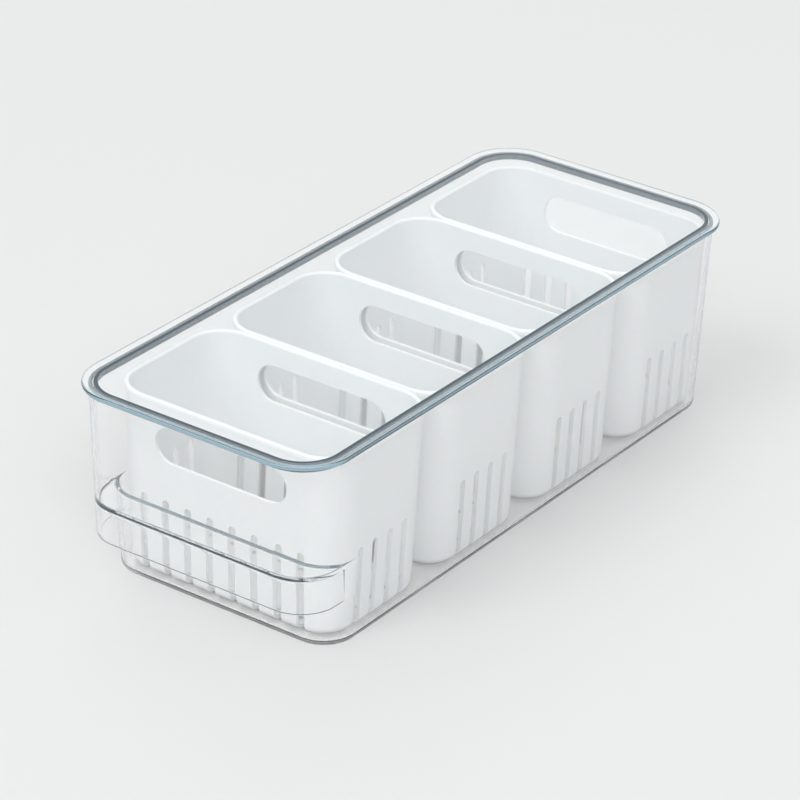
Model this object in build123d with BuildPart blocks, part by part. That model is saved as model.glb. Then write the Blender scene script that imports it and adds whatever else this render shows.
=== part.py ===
"""Clear fridge bin with a lift-off lid and a row of drain baskets.

Millimetres, +Z up.  The origin is the centre of the overall footprint, on the
underside of the bin.  X is the width, Y the length; the finger pull is at -Y.
"""
from build123d import *
import math
import os

# ---- overall -------------------------------------------------------------
overall_length = 368.0
overall_width = 152.0
overall_height = 108.0

# ---- bin -----------------------------------------------------------------
wall = 2.0
floor_thickness = 2.2
draft_angle = 2.2
rim_corner_radius = 24.0
foot_radius = 3.0
floor_corner_radius = 2.4
rim_edge_radius = 0.6

# ---- finger pull: a ledge, the inset wall under it, and a hanging skirt ---
pull_depth = 18.0
ledge_height = 45.6
skirt_height = 26.1
inset_corner_radius = 20.0
ledge_root_radius = 1.2
skirt_edge_radius = 0.6

# ---- lid -----------------------------------------------------------------
lid_thickness = 2.4
lid_overhang = 3.2
lid_edge_radius = 1.1
rib_depth = 3.0
rib_thickness = 2.0
rib_edge_radius = 0.5
rib_fit_gap = 0.6
seat_gap = 0.3

# ---- baskets -------------------------------------------------------------
basket_count = 4
basket_wall = 1.8
basket_floor = 2.0
basket_corner_radius = 20.0
basket_foot_radius = 4.5
basket_floor_radius = 2.7
basket_bead_width = 0.8
basket_bead_height = 2.6
basket_bead_radius = 1.1
basket_headroom = 3.6
basket_side_gap = 2.5
basket_end_gap = 0.5
basket_front_gap = 3.0
basket_spacing = 0.4

# ---- basket openings -----------------------------------------------------
hand_hole_width = 78.0
hand_hole_height = 20.0
hand_hole_drop = 21.2
slot_width = 4.3
slot_height = 44.0
slot_foot_reach = 3.0
long_slot_count = 8
long_slot_pitch = 13.4
end_slot_count = 4
end_slot_pitch = 11.8
drain_hole_diameter = 3.0
drain_columns = 9
drain_rows = 6

# ---- worked out from the sizes above -------------------------------------
draft = math.tan(math.radians(draft_angle))
lid_underside = overall_height - lid_thickness
rim_height = lid_underside - seat_gap
rim_half_width = overall_width / 2 - lid_overhang
rim_half_length = overall_length / 2 - lid_overhang
ledge_underside = ledge_height - wall
basket_foot = floor_thickness + seat_gap
basket_rim = lid_underside - rib_depth - basket_headroom
basket_height = basket_rim - basket_foot
basket_narrowing = basket_height * draft


def grow(height):
    """Where the drafted bin wall stands at this height, outward of its rim."""
    return (height - rim_height) * draft


# The end basket's corners keep their distance from the bin's rounded inner corners.
corner_gap = min(basket_side_gap, basket_end_gap)
bin_inner_corner = rim_corner_radius + grow(basket_rim) - wall
corner_spare = max(bin_inner_corner - basket_corner_radius, corner_gap)
corner_sideways = max(corner_spare - basket_side_gap, 0.0)
corner_lengthways = math.sqrt((corner_spare - corner_gap) ** 2 - corner_sideways**2)
row_end_gap = max(basket_end_gap, corner_spare - corner_lengthways)

# The baskets fill the length between the rear wall and the inset front wall.
row_rear = rim_half_length + grow(basket_rim) - wall - row_end_gap
row_front = pull_depth - rim_half_length - grow(basket_foot) + wall + basket_front_gap
row_front_rim = row_front - basket_narrowing
basket_pitch = (row_rear - row_front_rim + basket_spacing) / basket_count
basket_depth = basket_pitch - basket_spacing
basket_width = 2 * (rim_half_width + grow(basket_rim) - wall - basket_side_gap)


def rounded_plan(height, width, front, rear, front_radius, rear_radius):
    """A rectangle at one height, with its own corner radius at each end."""
    with BuildSketch(Plane.XY.offset(height)) as plan:
        with Locations((0, (front + rear) / 2)):
            Rectangle(width, rear - front)
        fillet(plan.vertices().group_by(Axis.Y)[0], front_radius)
        fillet(plan.vertices().group_by(Axis.Y)[-1], rear_radius)
    return plan.sketch


def bay_plan(height, inset=0.0):
    """Full-length outline of the bin, moved in from its outer face."""
    step = grow(height) - inset
    half_length = rim_half_length + step
    radius = rim_corner_radius + step
    width = 2 * (rim_half_width + step)
    return rounded_plan(height, width, -half_length, half_length, radius, radius)


def tub_plan(height, inset=0.0):
    """Outline of the bin under the ledge, where the front wall stands back."""
    step = grow(height) - inset
    front = pull_depth - rim_half_length - step
    rear = rim_half_length + step
    front_radius = inset_corner_radius + (height - ledge_height) * draft - inset
    rear_radius = rim_corner_radius + step
    return rounded_plan(height, 2 * (rim_half_width + step), front, rear, front_radius, rear_radius)


def basket_plan(height, inset=0.0):
    """Outline of a basket at a height, moved in from its widest line."""
    step = (height - basket_rim) * draft - inset
    half_depth = basket_depth / 2 + step
    radius = basket_corner_radius + step
    width = 2 * (basket_width / 2 + step)
    return rounded_plan(height, width, -half_depth, half_depth, radius, radius)


def level_faces(part, height):
    """The flat faces of a part that lie at one height."""
    return part.faces().filter_by(Plane.XY).filter_by_position(Axis.Z, height - 0.01, height + 0.01)


# ==== bin body: one clear moulding ========================================
with BuildPart() as bin_body:
    # outer form: the full-length bay, hollow under the ledge to leave the skirt
    extrude(bay_plan(skirt_height), amount=rim_height - skirt_height, taper=-draft_angle)
    extrude(
        bay_plan(skirt_height, wall),
        amount=ledge_underside - skirt_height,
        taper=-draft_angle,
        mode=Mode.SUBTRACT,
    )
    # the tub stands behind the skirt and reaches the ground
    extrude(tub_plan(0), amount=ledge_underside, taper=-draft_angle)
    fillet(level_faces(bin_body, 0).edges(), foot_radius)
    ledge_root = level_faces(bin_body, ledge_underside).edges().filter_by(Axis.X)
    fillet(ledge_root, ledge_root_radius)
    skirt_inner_edge = level_faces(bin_body, skirt_height).edges().filter_by(Axis.X).sort_by(Axis.Y)[-1]
    fillet(skirt_inner_edge, skirt_edge_radius)
    # the hollow, in two levels
    extrude(
        bay_plan(ledge_height, wall),
        amount=rim_height - ledge_height,
        taper=-draft_angle,
        mode=Mode.SUBTRACT,
    )
    extrude(
        tub_plan(floor_thickness, wall),
        amount=ledge_height - floor_thickness,
        taper=-draft_angle,
        mode=Mode.SUBTRACT,
    )
    fillet(level_faces(bin_body, floor_thickness).edges(), floor_corner_radius)
    fillet(level_faces(bin_body, rim_height).edges(), rim_edge_radius)
bin_body.part.label = "bin_body"

# ==== lid: a clear plate with a locating rib under it =====================
rib_half_width = rim_half_width - wall - rib_fit_gap
rib_half_length = rim_half_length - wall - rib_fit_gap
rib_corner_radius = rim_corner_radius - wall - rib_fit_gap
lid_corner_radius = rim_corner_radius + lid_overhang

with BuildPart() as lid:
    with BuildSketch(Plane.XY.offset(lid_underside)):
        RectangleRounded(overall_width, overall_length, lid_corner_radius)
    extrude(amount=lid_thickness)
    fillet(level_faces(lid, overall_height).edges(), lid_edge_radius)
    fillet(level_faces(lid, lid_underside).edges(), lid_edge_radius)
    with BuildSketch(Plane.XY.offset(lid_underside)):
        RectangleRounded(2 * rib_half_width, 2 * rib_half_length, rib_corner_radius)
        offset(amount=-rib_thickness, mode=Mode.SUBTRACT)
    extrude(amount=-rib_depth)
    fillet(level_faces(lid, lid_underside - rib_depth).edges(), rib_edge_radius)
lid.part.label = "lid"

# ==== basket: one white moulding, used basket_count times =================
with BuildPart() as basket:
    wall_foot = basket_plan(basket_foot, basket_bead_width)
    extrude(wall_foot, amount=basket_height, taper=-draft_angle)
    fillet(level_faces(basket, basket_foot).edges(), basket_foot_radius)
    # a bead thickens the rim
    bead_foot = basket_plan(basket_rim - basket_bead_height)
    extrude(bead_foot, amount=basket_bead_height, taper=-draft_angle)
    # the hollow
    hollow_foot = basket_plan(basket_foot + basket_floor, basket_bead_width + basket_wall)
    extrude(hollow_foot, amount=basket_height - basket_floor, taper=-draft_angle, mode=Mode.SUBTRACT)
    fillet(level_faces(basket, basket_foot + basket_floor).edges(), basket_floor_radius)
    fillet(level_faces(basket, basket_rim).edges(), basket_bead_radius)
    # hand holes through both long walls
    with BuildSketch(Plane.XZ) as hand_hole:
        with Locations((0, basket_rim - hand_hole_drop)):
            SlotOverall(hand_hole_width, hand_hole_height)
    extrude(amount=basket_depth, both=True, mode=Mode.SUBTRACT)
    # slots run down the lower half of each wall and out through its foot
    slot_length = slot_height + slot_width
    slot_middle = basket_foot + slot_height - slot_length / 2
    slot_start = basket_bead_width + basket_wall + basket_narrowing + slot_foot_reach
    long_slot_start = basket_depth / 2 - slot_start
    end_slot_start = basket_width / 2 - slot_start
    for side in (1, -1):
        with BuildSketch(Plane.XZ.offset(side * long_slot_start)):
            with Locations((0, slot_middle)):
                with GridLocations(long_slot_pitch, 1, long_slot_count, 1):
                    SlotOverall(slot_length, slot_width, rotation=90)
        extrude(amount=side * slot_start, mode=Mode.SUBTRACT)
        with BuildSketch(Plane.YZ.offset(side * end_slot_start)):
            with Locations((0, slot_middle)):
                with GridLocations(end_slot_pitch, 1, end_slot_count, 1):
                    SlotOverall(slot_length, slot_width, rotation=90)
        extrude(amount=side * slot_start, mode=Mode.SUBTRACT)
    # drain holes in the floor
    with BuildSketch(Plane.XY.offset(basket_foot)):
        with GridLocations(long_slot_pitch, end_slot_pitch, drain_columns, drain_rows):
            Circle(drain_hole_diameter / 2)
    extrude(amount=basket_floor, mode=Mode.SUBTRACT)

# ==== export ==============================================================
os.makedirs("parts", exist_ok=True)
export_step(bin_body.part, "parts/bin_body.step")
export_step(lid.part, "parts/lid.step")
for number in range(basket_count):
    middle = row_front_rim + basket_depth / 2 + number * basket_pitch
    placed_basket = Pos(0, middle, 0) * basket.part
    placed_basket.label = f"basket_{number + 1}"
    export_step(placed_basket, f"parts/{placed_basket.label}.step")
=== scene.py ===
"""Clear fridge bin with a lid and four white drain baskets: the looks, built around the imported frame.

Metres, +Z up, in the frame's own axes.  Every mesh is a stack of closed rings of points,
joined ring to ring, so edges are truly rounded and walls have their real thickness.
"""
import math

import bmesh
import bpy
import numpy as np
from mathutils import Matrix, Vector


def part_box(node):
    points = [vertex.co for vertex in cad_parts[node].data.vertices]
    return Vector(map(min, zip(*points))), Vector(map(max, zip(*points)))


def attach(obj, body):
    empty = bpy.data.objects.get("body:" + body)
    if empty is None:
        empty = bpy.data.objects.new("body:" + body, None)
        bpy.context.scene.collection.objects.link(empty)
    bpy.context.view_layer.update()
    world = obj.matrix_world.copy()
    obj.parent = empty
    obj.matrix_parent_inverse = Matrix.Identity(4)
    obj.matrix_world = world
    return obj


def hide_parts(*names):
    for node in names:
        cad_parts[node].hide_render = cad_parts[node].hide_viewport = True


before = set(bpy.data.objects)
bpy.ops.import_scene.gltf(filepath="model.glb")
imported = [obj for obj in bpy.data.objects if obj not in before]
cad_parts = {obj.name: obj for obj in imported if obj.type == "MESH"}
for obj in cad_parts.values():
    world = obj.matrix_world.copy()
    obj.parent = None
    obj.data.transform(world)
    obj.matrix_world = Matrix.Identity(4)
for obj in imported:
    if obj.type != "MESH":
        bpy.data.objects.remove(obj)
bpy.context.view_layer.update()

MM = 0.001

# ---- sizes that the frame gives ------------------------------------------
bin_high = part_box("bin_body")[1]
lid_low, lid_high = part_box("lid")
first_low, first_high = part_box("basket_1")

# ---- wall sections, as the mouldings have them ---------------------------
WALL = 2.0 * MM
FLOOR = 2.2 * MM
DRAFT = math.tan(math.radians(2.2))
RIM_RADIUS = 24.0 * MM
FOOT_RADIUS = 3.0 * MM
FLOOR_RADIUS = 2.4 * MM
RIM_ROUND = 0.6 * MM

PULL_DEPTH = 18.0 * MM
LEDGE_HEIGHT = 45.6 * MM
SKIRT_HEIGHT = 26.1 * MM
INSET_RADIUS = 20.0 * MM
LEDGE_ROUND = 1.3 * MM
LEDGE_ROOT = 1.2 * MM
SKIRT_ROUND = 0.6 * MM

LID_THICKNESS = 2.4 * MM
LID_OVERHANG = 3.2 * MM
LID_ROUND = 1.1 * MM
RIB_THICKNESS = 2.0 * MM
RIB_ROUND = 0.5 * MM
RIB_GAP = 0.6 * MM

BASKET_RADIUS = 20.0 * MM
BASKET_WALL = 1.8 * MM
BASKET_FLOOR = 2.0 * MM
BASKET_FOOT_ROUND = 4.5 * MM
BASKET_FLOOR_ROUND = 2.7 * MM
BEAD_WIDTH = 0.8 * MM
BEAD_HEIGHT = 2.6 * MM
BEAD_ROUND = 1.1 * MM
HAND_HOLE = (78.0 * MM, 20.0 * MM)
HAND_HOLE_DROP = 21.2 * MM
SLOT_WIDTH = 4.3 * MM
SLOT_HEIGHT = 44.0 * MM
SLOT_REACH = 3.0 * MM
LONG_SLOTS = (8, 13.4 * MM)
END_SLOTS = (4, 11.8 * MM)
DRAIN_HOLE = 3.0 * MM
DRAIN_GRID = (9, 6)
CUT_ROUND = 0.45 * MM

RIM_HEIGHT = bin_high.z
HALF_WIDTH = bin_high.x
HALF_LENGTH = bin_high.y

# ---- how finely the outlines are divided ---------------------------------
END_STEPS = 6
SIDE_STEPS = 10
CORNER_STEPS = 22
LEAD_STEPS = 3
CUSP_STEPS = 8
LID_CORNER_STEPS = 24
BASKET_CORNER_STEPS = 16

# ---- the looks -----------------------------------------------------------
# A ray mirrored or turned more often than the MOST_ values counts as caught in the plastic.
CLEAR_HAZE = 0.02
BASE_HAZE = 0.2
OPEN_TINT = (0.99, 0.99, 0.99, 1)
# Painted shade: light caught in the clear plastic passes on darkened to this slate colour, standing for
# the dark band along the edges, with a little of the plastic's own tint.
EDGE_TINT_AND_PAINTED_SHADE = (0.26, 0.37, 0.43, 1)
MOST_MIRRORINGS = 2.5
MOST_TURNS = 10.5
AIR_UNDER_BIN = 0.15 * MM


# ==== rings ===============================================================
def arc_points(centre, radius, start, end, count):
    """Points on an arc between two angles in degrees, without the last one."""
    angles = np.radians(np.linspace(start, end, count, endpoint=False))
    return [(centre[0] + radius * math.cos(a), centre[1] + radius * math.sin(a)) for a in angles]


def line_points(start, end, count):
    """Points along a straight line, without the last one."""
    return [tuple(np.array(start) + (np.array(end) - np.array(start)) * t)
            for t in np.linspace(0, 1, count, endpoint=False)]


def whole_loop(right_half):
    """Right-hand points from the front middle to the rear middle, closed with their mirror image."""
    left_half = [(-x, y) for x, y in reversed(right_half[1:-1])]
    return np.array(right_half + left_half)


def plain_plan(half_width, half_length, radius, corner_steps, centre_y=0.0):
    """A rounded rectangle."""
    x, y = half_width - radius, half_length - radius
    points = line_points((0, -half_length), (x, -half_length), END_STEPS)
    points += arc_points((x, -y), radius, -90, 0, corner_steps)
    points += line_points((half_width, -y), (half_width, y), SIDE_STEPS)
    points += arc_points((x, y), radius, 0, 90, corner_steps)
    points += line_points((x, half_length), (0, half_length), END_STEPS) + [(0, half_length)]
    return whole_loop(points) + np.array((0, centre_y))


def ring(plan, height):
    """A plan at one height, or at a height for each of its points."""
    return np.column_stack([plan, np.broadcast_to(height, len(plan))])


def quarter(count):
    """Pairs (sine, cosine) for the steps of a quarter round, or (cosine, sine) of the next one."""
    angles = np.linspace(0, math.pi / 2, count + 1)
    return [(math.sin(a), math.cos(a)) for a in angles]


def placed(name, data):
    """A new object in the scene."""
    made = bpy.data.objects.new(name, data)
    bpy.context.scene.collection.objects.link(made)
    return made


SAME_POINT = 0.002 * MM


def ring_solid(name, rings):
    """A closed solid: neighbouring rings joined by quads, with a flat cap at each end."""
    mesh = bpy.data.meshes.new(name)
    around = len(rings[0])
    points = np.concatenate(rings)
    faces = []
    for level in range(len(rings) - 1):
        low, high = level * around, (level + 1) * around
        for i in range(around):
            j = (i + 1) % around
            faces.append((low + i, low + j, high + j, high + i))
    last = (len(rings) - 1) * around
    faces.append(tuple(reversed(range(around))))
    faces.append(tuple(range(last, last + around)))
    mesh.from_pydata(points.tolist(), [], faces)
    work = bmesh.new()
    work.from_mesh(mesh)
    bmesh.ops.remove_doubles(work, verts=work.verts, dist=SAME_POINT)
    bmesh.ops.dissolve_degenerate(work, dist=SAME_POINT / 20, edges=work.edges)
    bmesh.ops.recalc_face_normals(work, faces=work.faces)
    work.to_mesh(mesh)
    work.free()
    return placed(name, mesh)


SHARP_ANGLE = 38


def smooth(piece):
    """Smooth shading that keeps flat faces flat and true corners crisp."""
    mesh = piece.data
    work = bmesh.new()
    work.from_mesh(mesh)
    for face in work.faces:
        face.smooth = True
    for edge in work.edges:
        soft = edge.calc_face_angle(0) < math.radians(SHARP_ANGLE)
        edge.smooth = soft and len(edge.link_faces) == 2
    work.to_mesh(mesh)
    work.free()
    weighted = piece.modifiers.new("even_normals", "WEIGHTED_NORMAL")
    weighted.keep_sharp = True
    weighted.weight = 60


# ==== the bin =============================================================
def grow(height):
    """Where the drafted wall stands at this height, outward of the rim line."""
    return (height - RIM_HEIGHT) * DRAFT


corner_x = HALF_WIDTH - RIM_RADIUS
corner_y = HALF_LENGTH - RIM_RADIUS
inset_radius_at_rim = INSET_RADIUS + (RIM_HEIGHT - LEDGE_HEIGHT) * DRAFT
inset_x = HALF_WIDTH - inset_radius_at_rim
inset_y = HALF_LENGTH - PULL_DEPTH - inset_radius_at_rim


def cusp_angle(height, inset):
    """Where, on the inset corner, the skirt's inner face runs into it, in degrees from the side."""
    radius = inset_radius_at_rim + grow(height) - inset
    return math.degrees(math.acos(1 - WALL / radius))


def rear_half(half_width, radius, half_length):
    """The points that the bay and the tub share: side, rear corner and rear wall."""
    points = line_points((half_width, -inset_y), (half_width, corner_y), SIDE_STEPS)
    points += arc_points((corner_x, corner_y), radius, 0, 90, CORNER_STEPS)
    points += line_points((corner_x, half_length), (0, half_length), END_STEPS)
    return points + [(0, half_length)]


def bay(height, inset=0.0):
    """Full-length outline of the bin at a height, moved in from its outer face."""
    step = grow(height) - inset
    half_width, half_length, radius = HALF_WIDTH + step, HALF_LENGTH + step, RIM_RADIUS + step
    tub_radius = inset_radius_at_rim + step
    cusp_y = -inset_y - tub_radius * math.sin(math.radians(cusp_angle(height, inset)))
    points = line_points((0, -half_length), (corner_x, -half_length), END_STEPS)
    points += arc_points((corner_x, -corner_y), radius, -90, 0, CORNER_STEPS - LEAD_STEPS)
    points += line_points((half_width, -corner_y), (half_width, cusp_y), LEAD_STEPS)
    points += line_points((half_width, cusp_y), (half_width, -inset_y), CUSP_STEPS)
    return whole_loop(points + rear_half(half_width, radius, half_length))


def tub(height, inset=0.0):
    """Outline of the bin under the ledge at a height, moved in from its outer face."""
    step = grow(height) - inset
    half_width, half_length, radius = HALF_WIDTH + step, HALF_LENGTH + step, RIM_RADIUS + step
    tub_radius = inset_radius_at_rim + step
    front = -(inset_y + tub_radius)
    cusp = cusp_angle(height, inset)
    points = line_points((0, front), (inset_x, front), END_STEPS)
    points += arc_points((inset_x, -inset_y), tub_radius, -90, -cusp, CORNER_STEPS)
    points += arc_points((inset_x, -inset_y), tub_radius, -cusp, 0, CUSP_STEPS)
    return whole_loop(points + rear_half(half_width, radius, half_length))


def toward(start, end, distance):
    """Points moved from one plan towards another by a distance each, and never past it."""
    gap = end - start
    length = np.linalg.norm(gap, axis=1)
    unit = gap / np.maximum(length, 1e-9)[:, None]
    return start + unit * np.minimum(distance, length)[:, None]


def width_between(a, b):
    """How far apart two plans are at each point."""
    return np.linalg.norm(b - a, axis=1)


MOST_OF_WIDTH = 0.45


def eased(radius, width):
    """A radius, or as much of it as leaves room for the one opposite where the width runs out."""
    return np.minimum(radius, width * MOST_OF_WIDTH)


def foot_rings():
    """The round under the bin's walls."""
    rings = []
    for sine, cosine in quarter(6):
        height = FOOT_RADIUS * (1 - cosine)
        rings.append(ring(tub(height, FOOT_RADIUS * (1 - sine)), height))
    return rings


def hollow_rings(hollow, tub_foot):
    """The hollow behind the skirt.  Where there is no hollow, its rings lie on the tub's foot."""
    ceiling = LEDGE_HEIGHT - WALL
    tub_top, bay_top = tub(ceiling), bay(ceiling, WALL)
    root = eased(LEDGE_ROOT, width_between(tub_top, bay_top))

    def hollow_ring(plan, height):
        heights = np.where(hollow, height, SKIRT_HEIGHT)
        return ring(np.where(hollow[:, None], plan, tub_foot), heights)

    rings = []
    for sine, cosine in quarter(4):
        plan = toward(tub_top, bay_top, root * (1 - cosine))
        rings.append(hollow_ring(plan, ceiling - root * (1 - sine)))
    for cosine, sine in quarter(4):
        plan = toward(bay_top, tub_top, root * (1 - cosine))
        rings.append(hollow_ring(plan, ceiling - root * (1 - sine)))
    return rings


def skirt_rings(hollow, tub_foot):
    """The skirt's rounded lower edge."""
    inner = np.where(hollow[:, None], bay(SKIRT_HEIGHT, WALL), tub_foot)
    outer = bay(SKIRT_HEIGHT)
    outer_edge = eased(SKIRT_ROUND, width_between(inner, outer))
    inner_edge = np.where(hollow, outer_edge, 0.0)
    rings = []
    for cosine, sine in quarter(3):
        plan = toward(inner, outer, inner_edge * (1 - sine))
        rings.append(ring(plan, SKIRT_HEIGHT + inner_edge * (1 - cosine)))
    for sine, cosine in quarter(3):
        plan = toward(outer, inner, outer_edge * (1 - sine))
        rings.append(ring(plan, SKIRT_HEIGHT + outer_edge * (1 - cosine)))
    return rings


def rim_rings():
    """Over the rim, from the outer face to the inner one."""
    rings = []
    for sine, cosine in quarter(3):
        height = RIM_HEIGHT - RIM_ROUND * (1 - sine)
        rings.append(ring(bay(height, RIM_ROUND * (1 - cosine)), height))
    for cosine, sine in quarter(3):
        height = RIM_HEIGHT - RIM_ROUND * (1 - sine)
        rings.append(ring(bay(height, WALL - RIM_ROUND * (1 - cosine)), height))
    return rings


def inside_rings():
    """Down the inside, across the ledge and on to the floor."""
    bay_inner, tub_inner = bay(LEDGE_HEIGHT, WALL), tub(LEDGE_HEIGHT, WALL)
    shelf = width_between(bay_inner, tub_inner)
    root, edge = eased(LEDGE_ROOT, shelf), eased(LEDGE_ROUND, shelf)
    rings = []
    for sine, cosine in quarter(4):
        plan = toward(bay_inner, tub_inner, root * (1 - cosine))
        rings.append(ring(plan, LEDGE_HEIGHT + root * (1 - sine)))
    for cosine, sine in quarter(5):
        plan = toward(tub_inner, bay_inner, edge * (1 - cosine))
        rings.append(ring(plan, LEDGE_HEIGHT - edge * (1 - sine)))
    for sine, cosine in quarter(5):
        height = FLOOR + FLOOR_RADIUS * (1 - sine)
        rings.append(ring(tub(height, WALL + FLOOR_RADIUS * (1 - cosine)), height))
    return rings


def make_bin():
    """The bin's one moulding.  Its underside and foot take the second material."""
    tub_foot = tub(SKIRT_HEIGHT)
    count = len(tub_foot)
    station = np.arange(count)
    from_front = np.minimum(station, count - station)
    hollow = from_front < END_STEPS + CORNER_STEPS
    rings = foot_rings() + [ring(tub_foot, SKIRT_HEIGHT)]
    rings += hollow_rings(hollow, tub_foot) + skirt_rings(hollow, tub_foot)
    rings += rim_rings() + inside_rings()
    piece = ring_solid("clear_bin", rings)
    smooth(piece)
    for face in piece.data.polygons:
        under = face.center.z < FOOT_RADIUS * 0.9 and face.normal.z < -0.1
        face.material_index = int(under)
    return piece


# ==== the lid =============================================================
def make_lid():
    """The lid's plate and the rib under it.  The rib's outer face takes the second material, a dark slate
    painted shade for the dark band along the lid's edge.
    """
    half_width, half_length = lid_high.x, lid_high.y
    radius = RIM_RADIUS + LID_OVERHANG
    top, underside, rib_foot = lid_high.z, lid_high.z - LID_THICKNESS, lid_low.z
    rib = LID_OVERHANG + WALL + RIB_GAP

    def plan(inset):
        return plain_plan(half_width - inset, half_length - inset, radius - inset, LID_CORNER_STEPS)

    rings = []
    for sine, cosine in quarter(4):
        rings.append(ring(plan(LID_ROUND * (1 - sine)), top - LID_ROUND * (1 - cosine)))
    for cosine, sine in quarter(4):
        rings.append(ring(plan(LID_ROUND * (1 - sine)), underside + LID_ROUND * (1 - cosine)))
    rings.append(ring(plan(rib), underside))
    for cosine, sine in quarter(3):
        rings.append(ring(plan(rib + RIB_ROUND * (1 - sine)), rib_foot + RIB_ROUND * (1 - cosine)))
    for sine, cosine in quarter(3):
        inset = rib + RIB_THICKNESS - RIB_ROUND * (1 - sine)
        rings.append(ring(plan(inset), rib_foot + RIB_ROUND * (1 - cosine)))
    rings.append(ring(plan(rib + RIB_THICKNESS), underside))
    piece = ring_solid("clear_lid", rings)
    smooth(piece)
    for face in piece.data.polygons:
        outward = face.normal.xy.dot(face.center.xy) > 0 or face.normal.z < -0.5
        # The rib's outer and lower faces take the dark slate painted shade.
        face.material_index = int(face.center.z < underside - 0.01 * MM and outward)
    return piece


# ==== the baskets =========================================================
def capsule(length, width, steps=10):
    """Outline of a slot with round ends, standing along the second axis."""
    radius, straight = width / 2, (length - width) / 2
    points = arc_points((0, straight), radius, 0, 180, steps) + [(-radius, straight)]
    return points + arc_points((0, -straight), radius, 180, 360, steps) + [(radius, -straight)]


def prism(work, outline, place, depth):
    """Adds a prism to a bmesh: outline in its own XY plane, extruded both ways along its Z."""
    levels = []
    for z in (-depth / 2, depth / 2):
        levels.append([work.verts.new(place @ Vector((x, y, z))) for x, y in outline])
    count = len(outline)
    work.faces.new(reversed(levels[0]))
    work.faces.new(levels[1])
    for i in range(count):
        j = (i + 1) % count
        work.faces.new((levels[0][i], levels[0][j], levels[1][j], levels[1][i]))


def spread(count, pitch):
    """Centred places along a line."""
    return [(i - (count - 1) / 2) * pitch for i in range(count)]


FACE_Y = Matrix.Rotation(math.radians(90), 4, "X")
FACE_X = Matrix.Rotation(math.radians(90), 4, "Z") @ FACE_Y


def cut_hand_holes(work, half_depth, centre_y, rim):
    """One prism cuts the hand holes in both long walls."""
    hand_hole = [(y, x) for x, y in capsule(*HAND_HOLE, steps=20)]
    place = Matrix.Translation((0, centre_y, rim - HAND_HOLE_DROP)) @ FACE_Y
    prism(work, hand_hole, place, 4 * half_depth)


def cut_slots(work, half_width, half_depth, centre_y, foot, rim):
    """The slots that rise from the foot in all four walls, and reach a little into the floor."""
    slot = capsule(SLOT_HEIGHT + SLOT_WIDTH, SLOT_WIDTH)
    slot_z = foot + SLOT_HEIGHT - (SLOT_HEIGHT + SLOT_WIDTH) / 2
    narrowing = (rim - foot) * DRAFT
    reach = BEAD_WIDTH + BASKET_WALL + narrowing + SLOT_REACH
    for side in (-1, 1):
        wall_y = centre_y + side * (half_depth + WALL - reach / 2)
        for x in spread(*LONG_SLOTS):
            prism(work, slot, Matrix.Translation((x, wall_y, slot_z)) @ FACE_Y, reach + 2 * WALL)
        wall_x = side * (half_width + WALL - reach / 2)
        for y in spread(*END_SLOTS):
            place = Matrix.Translation((wall_x, centre_y + y, slot_z)) @ FACE_X
            prism(work, slot, place, reach + 2 * WALL)


def cut_drain_holes(work, centre_y, foot):
    """The grid of round holes in the floor."""
    drain = arc_points((0, 0), DRAIN_HOLE / 2, 0, 360, 20)
    for x in spread(DRAIN_GRID[0], LONG_SLOTS[1]):
        for y in spread(DRAIN_GRID[1], END_SLOTS[1]):
            prism(work, drain, Matrix.Translation((x, centre_y + y, foot)), 6 * BASKET_FLOOR)


def make_cutter(half_width, half_depth, centre_y, foot, rim):
    """Everything that is cut from a basket."""
    work = bmesh.new()
    cut_hand_holes(work, half_depth, centre_y, rim)
    cut_slots(work, half_width, half_depth, centre_y, foot, rim)
    cut_drain_holes(work, centre_y, foot)
    bmesh.ops.recalc_face_normals(work, faces=work.faces)
    mesh = bpy.data.meshes.new("cutter")
    work.to_mesh(mesh)
    work.free()
    return placed("cutter", mesh)


def applied(piece):
    """The piece's mesh with its modifiers applied."""
    graph = bpy.context.evaluated_depsgraph_get()
    return bpy.data.meshes.new_from_object(piece.evaluated_get(graph))


def basket_rings(plan, foot, rim):
    """A basket before its openings: up the outside, over the bead and down the inside."""
    rings = []
    for sine, cosine in quarter(7):
        height = foot + BASKET_FOOT_ROUND * (1 - cosine)
        rings.append(ring(plan(height, BEAD_WIDTH + BASKET_FOOT_ROUND * (1 - sine)), height))
    bead_foot = rim - BEAD_HEIGHT
    rings.append(ring(plan(bead_foot - BEAD_WIDTH, BEAD_WIDTH), bead_foot - BEAD_WIDTH))
    for cosine, sine in quarter(4)[1:]:
        height = bead_foot - BEAD_WIDTH * (1 - cosine) * 0.6
        rings.append(ring(plan(bead_foot, BEAD_WIDTH * sine), height))
    for sine, cosine in quarter(6):
        height = rim - BEAD_ROUND * (1 - sine)
        rings.append(ring(plan(height, BEAD_ROUND * (1 - cosine)), height))
    thickness = BEAD_WIDTH + BASKET_WALL
    for cosine, sine in quarter(6):
        height = rim - BEAD_ROUND * (1 - sine)
        rings.append(ring(plan(height, thickness - BEAD_ROUND * (1 - cosine)), height))
    for sine, cosine in quarter(6):
        height = foot + BASKET_FLOOR + BASKET_FLOOR_ROUND * (1 - sine)
        rings.append(ring(plan(height, thickness + BASKET_FLOOR_ROUND * (1 - cosine)), height))
    return rings


def cut_and_eased(blank, cutter):
    """The blank's mesh less the cutter, with every cut edge slightly rounded."""
    openings = blank.modifiers.new("openings", "BOOLEAN")
    openings.operation, openings.solver, openings.object = "DIFFERENCE", "EXACT", cutter
    edges = blank.modifiers.new("eased_edges", "BEVEL")
    edges.width, edges.segments = CUT_ROUND, 2
    edges.limit_method, edges.angle_limit = "ANGLE", math.radians(50)
    edges.use_clamp_overlap = True
    mesh = applied(blank)
    for scrap in (blank, cutter):
        bpy.data.objects.remove(scrap)
    return mesh


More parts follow.
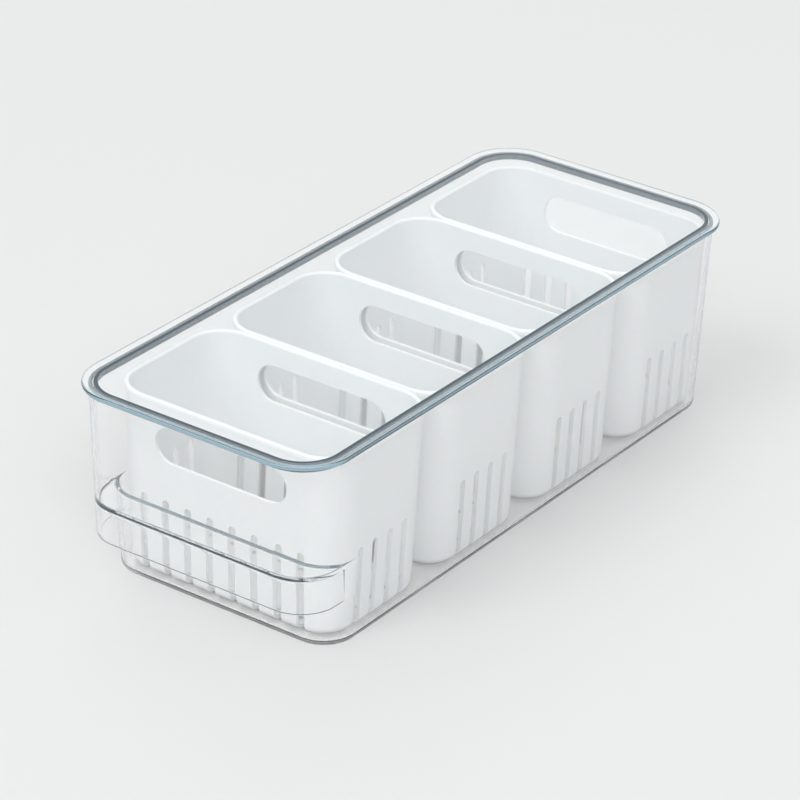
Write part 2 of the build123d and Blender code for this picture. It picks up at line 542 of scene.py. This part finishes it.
def make_basket_mesh():
    """One basket, where the frame has basket_1."""
    low, high = first_low, first_high
    half_width = high.x
    half_depth = (high.y - low.y) / 2
    centre_y = (high.y + low.y) / 2
    foot, rim = low.z, high.z

    def plan(height, inset):
        step = (height - rim) * DRAFT - inset
        radius = BASKET_RADIUS + step
        return plain_plan(half_width + step, half_depth + step, radius, BASKET_CORNER_STEPS, centre_y)

    blank = ring_solid("basket_blank", basket_rings(plan, foot, rim))
    return cut_and_eased(blank, make_cutter(half_width, half_depth, centre_y, foot, rim))


# ==== materials ===========================================================
def node(tree, kind, **values):
    """A shader node with its inputs set by name."""
    made = tree.nodes.new(kind)
    for name, value in values.items():
        made.inputs[name.replace("_", " ")].default_value = value
    return made


def new_material(name):
    """An empty node material and its tree."""
    material = bpy.data.materials.new(name)
    material.use_nodes = True
    material.node_tree.nodes.clear()
    return material, material.node_tree


def moulded_bump(tree, fine_scale, wave_scale, fine, wave):
    """The faint unevenness of a moulded surface: a slow wave and a fine texture."""
    place = tree.nodes.new("ShaderNodeTexCoord")
    slow = node(tree, "ShaderNodeTexNoise", Scale=wave_scale, Detail=1.0)
    quick = node(tree, "ShaderNodeTexNoise", Scale=fine_scale, Detail=3.0)
    for noise in (slow, quick):
        tree.links.new(place.outputs["Object"], noise.inputs["Vector"])
    wave_bump = node(tree, "ShaderNodeBump", Strength=1.0, Distance=wave)
    fine_bump = node(tree, "ShaderNodeBump", Strength=1.0, Distance=fine)
    tree.links.new(slow.outputs["Fac"], wave_bump.inputs["Height"])
    tree.links.new(quick.outputs["Fac"], fine_bump.inputs["Height"])
    tree.links.new(wave_bump.outputs["Normal"], fine_bump.inputs["Normal"])
    return fine_bump.outputs["Normal"], quick.outputs["Fac"]


def moulded_surface(tree, plastic, bump, glossiest, dullest):
    """Gives a plastic its bump and a roughness that wanders, and returns the fine noise."""
    normal, noise = bump
    gloss = node(tree, "ShaderNodeMapRange", From_Min=0.3, From_Max=0.7)
    gloss.inputs["To Min"].default_value = glossiest
    gloss.inputs["To Max"].default_value = dullest
    tree.links.new(noise, gloss.inputs["Value"])
    tree.links.new(gloss.outputs["Result"], plastic.inputs["Roughness"])
    tree.links.new(normal, plastic.inputs["Normal"])
    return noise


def maths(tree, operation, first, second):
    """A Math node's output for two inputs, of which the second may be a plain number."""
    made = tree.nodes.new("ShaderNodeMath")
    made.operation = operation
    tree.links.new(first, made.inputs[0])
    if isinstance(second, float):
        made.inputs[1].default_value = second
    else:
        tree.links.new(second, made.inputs[1])
    return made.outputs[0]


def mixed(tree, share, first, second):
    """A Mix Shader's output."""
    made = tree.nodes.new("ShaderNodeMixShader")
    for socket, entry in zip((share, first, second), made.inputs):
        tree.links.new(socket, entry)
    return made.outputs[0]


def shown(tree, shader):
    """Makes a shader the material's surface."""
    out = tree.nodes.new("ShaderNodeOutputMaterial")
    tree.links.new(shader, out.inputs["Surface"])


def clear_plastic(name, colour, roughness, haze=0.0):
    """Clear moulded plastic with a share of milky haze.

    Lamp light and bounced light reach what is behind it, and light that stays caught
    in it after many turns comes out darkened to slate: painted shade for the dark band
    along a moulding's edge, with a little of the plastic's own tint.
    """
    material, tree = new_material(name)
    bump = moulded_bump(tree, 900.0, 14.0, 0.4e-6, 12e-6)
    plastic = node(tree, "ShaderNodeBsdfPrincipled", Base_Color=colour, IOR=1.49)
    plastic.inputs["Transmission Weight"].default_value = 1 - haze
    moulded_surface(tree, plastic, bump, roughness * 0.6, roughness * 1.6)
    open_way = node(tree, "ShaderNodeBsdfTransparent", Color=OPEN_TINT)
    # Painted shade: caught light goes on through this slate-tinted pass, darkening the edges, with a
    # little of the plastic's own tint.
    painted_shade_leak = node(tree, "ShaderNodeBsdfTransparent", Color=EDGE_TINT_AND_PAINTED_SHADE)
    path = tree.nodes.new("ShaderNodeLightPath").outputs
    light = maths(tree, "MAXIMUM", path["Is Shadow Ray"], path["Is Diffuse Ray"])
    caught = maths(tree, "GREATER_THAN", path["Glossy Depth"], MOST_MIRRORINGS)
    tired = maths(tree, "GREATER_THAN", path["Ray Depth"], MOST_TURNS)
    lit = mixed(tree, light, plastic.outputs[0], open_way.outputs[0])
    shown(tree, mixed(tree, maths(tree, "MAXIMUM", caught, tired), lit, painted_shade_leak.outputs[0]))
    return material


def solid_plastic(name, plastic_values, bump_values, shades, glossiest, dullest):
    """Opaque moulded plastic whose colour wanders between two shades."""
    material, tree = new_material(name)
    bump = moulded_bump(tree, *bump_values)
    plastic = node(tree, "ShaderNodeBsdfPrincipled", **plastic_values)
    noise = moulded_surface(tree, plastic, bump, glossiest, dullest)
    shade = tree.nodes.new("ShaderNodeMix")
    shade.data_type = "RGBA"
    shade.inputs["A"].default_value, shade.inputs["B"].default_value = shades
    tree.links.new(noise, shade.inputs["Factor"])
    tree.links.new(shade.outputs["Result"], plastic.inputs["Base Color"])
    shown(tree, plastic.outputs[0])
    return material


def painted_edge_shade_plastic(name):
    """Painted shade: a dark slate colour on the rib's outer face, standing for the dark band along the
    clear lid's edge.
    """
    shades = (0.008, 0.048, 0.084, 1), (0.014, 0.062, 0.100, 1)
    return solid_plastic(name, dict(IOR=1.45), (1400.0, 30.0, 1.0e-6, 6e-6), shades, 0.40, 0.55)


def white_plastic(name):
    """Satin white moulded plastic."""
    values = dict(IOR=1.49, Specular_IOR_Level=0.35, Subsurface_Weight=0.15, Subsurface_Scale=0.002)
    shades = (0.812, 0.830, 0.836, 1), (0.832, 0.847, 0.852, 1)
    return solid_plastic(name, values, (1600.0, 20.0, 1.0e-6, 15e-6), shades, 0.46, 0.58)


# ==== build ===============================================================
def build_bin():
    clear_bin = make_bin()
    clear_bin.data.materials.append(
        clear_plastic("clear_bin_plastic", (0.995, 0.998, 0.998, 1), 0.03, CLEAR_HAZE))
    clear_bin.data.materials.append(
        clear_plastic("clear_bin_base", (0.99, 0.99, 0.985, 1), 0.14, BASE_HAZE))
    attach(clear_bin, "bin")
    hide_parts("bin_body")


def build_lid():
    clear_lid = make_lid()
    clear_lid.data.materials.append(
        clear_plastic("clear_lid_plastic", (0.98, 0.99, 0.99, 1), 0.025))
    # Painted shade: the rib's outer face is coloured dark slate for the dark band along the lid's edge.
    clear_lid.data.materials.append(painted_edge_shade_plastic("painted_shade_lid_edge"))
    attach(clear_lid, "lid")
    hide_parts("lid")


def build_baskets():
    basket_mesh = make_basket_mesh()
    basket_mesh.materials.clear()
    basket_mesh.materials.append(white_plastic("white_basket_plastic"))
    for number in (1, 2, 3, 4):
        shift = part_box(f"basket_{number}")[0].y - first_low.y
        mesh = basket_mesh.copy()
        mesh.transform(Matrix.Translation((0, shift, 0)))
        basket = placed(f"white_basket_{number}", mesh)
        smooth(basket)
        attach(basket, f"basket_{number}")
        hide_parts(f"basket_{number}")


# ==== studio ==============================================================
def make_floor():
    """A plain pale floor, a hair below the bin so that light can leave its underside."""
    mesh = bpy.data.meshes.new("floor")
    work = bmesh.new()
    bmesh.ops.create_grid(work, x_segments=1, y_segments=1, size=30)
    work.to_mesh(mesh)
    work.free()
    floor = placed("floor", mesh)
    floor.location.z = -AIR_UNDER_BIN
    material, tree = new_material("studio_floor")
    paint = node(tree, "ShaderNodeBsdfPrincipled", Base_Color=(0.7, 0.7, 0.7, 1), Roughness=1.0)
    paint.inputs["Specular IOR Level"].default_value = 0.0
    shown(tree, paint.outputs[0])
    mesh.materials.append(material)


def area_light(name, place, size, power, mirrored=True):
    """A soft square lamp that faces the object, and shows in gloss and through the clear parts or not."""
    data = bpy.data.lights.new(name, "AREA")
    data.size, data.energy = size, power
    lamp = placed(name, data)
    lamp.visible_glossy = lamp.visible_transmission = mirrored
    lamp.location = place
    lamp.rotation_euler = (-Vector(place)).to_track_quat("-Z", "Y").to_euler()


def make_sky():
    """A dim slate room to shoulder height with one great soft light for a ceiling."""
    world = bpy.data.worlds.new("studio")
    world.use_nodes = True
    tree = world.node_tree
    place = tree.nodes.new("ShaderNodeTexCoord")
    split = tree.nodes.new("ShaderNodeSeparateXYZ")
    ramp = tree.nodes.new("ShaderNodeValToRGB")
    ramp.color_ramp.interpolation = "EASE"
    wall, horizon, ceiling = (0.34, 0.39, 0.41, 1), (0.56, 0.60, 0.62, 1), (1, 0.995, 0.99, 1)
    stops = (0.0, horizon), (0.30, wall), (0.46, wall), (0.66, ceiling)
    elements = ramp.color_ramp.elements
    while len(elements) < len(stops):
        elements.new(0.5)
    for element, (height, colour) in zip(elements, stops):
        element.position, element.color = height, colour
    tree.links.new(place.outputs["Generated"], split.inputs[0])
    tree.links.new(split.outputs["Z"], ramp.inputs["Fac"])
    background = tree.nodes["Background"]
    tree.links.new(ramp.outputs["Color"], background.inputs["Color"])
    background.inputs["Strength"].default_value = 1.0
    bpy.context.scene.world = world


def make_lights():
    area_light("key", (-1.2, -5.8, 5.8), 4.5, 205, mirrored=False)
    area_light("veil", (-3.6, 5.1, 3.3), 5.0, 64)
    area_light("fill", (4.8, -3.6, 5.2), 4.5, 165, mirrored=False)
    make_sky()


def make_camera():
    """A long lens from the front right and above, turned a little about its own axis."""
    data = bpy.data.cameras.new("camera")
    data.sensor_width, data.lens = 36.0, 172.3
    data.clip_start, data.clip_end = 0.05, 100
    camera = placed("camera", data)
    camera.location = (0.9802, -1.4022, 0.9434)
    yaw, down, roll = math.radians(35.16), math.radians(27.62), math.radians(1.65)
    turn = Matrix.Rotation(yaw, 3, "Z") @ Matrix.Rotation(math.pi / 2 - down, 3, "X")
    camera.rotation_euler = (turn @ Matrix.Rotation(roll, 3, "Z")).to_euler()
    bpy.context.scene.camera = camera


build_bin()
build_lid()
build_baskets()
make_floor()
make_lights()
make_camera()
bpy.context.scene.view_settings.view_transform = "Standard"
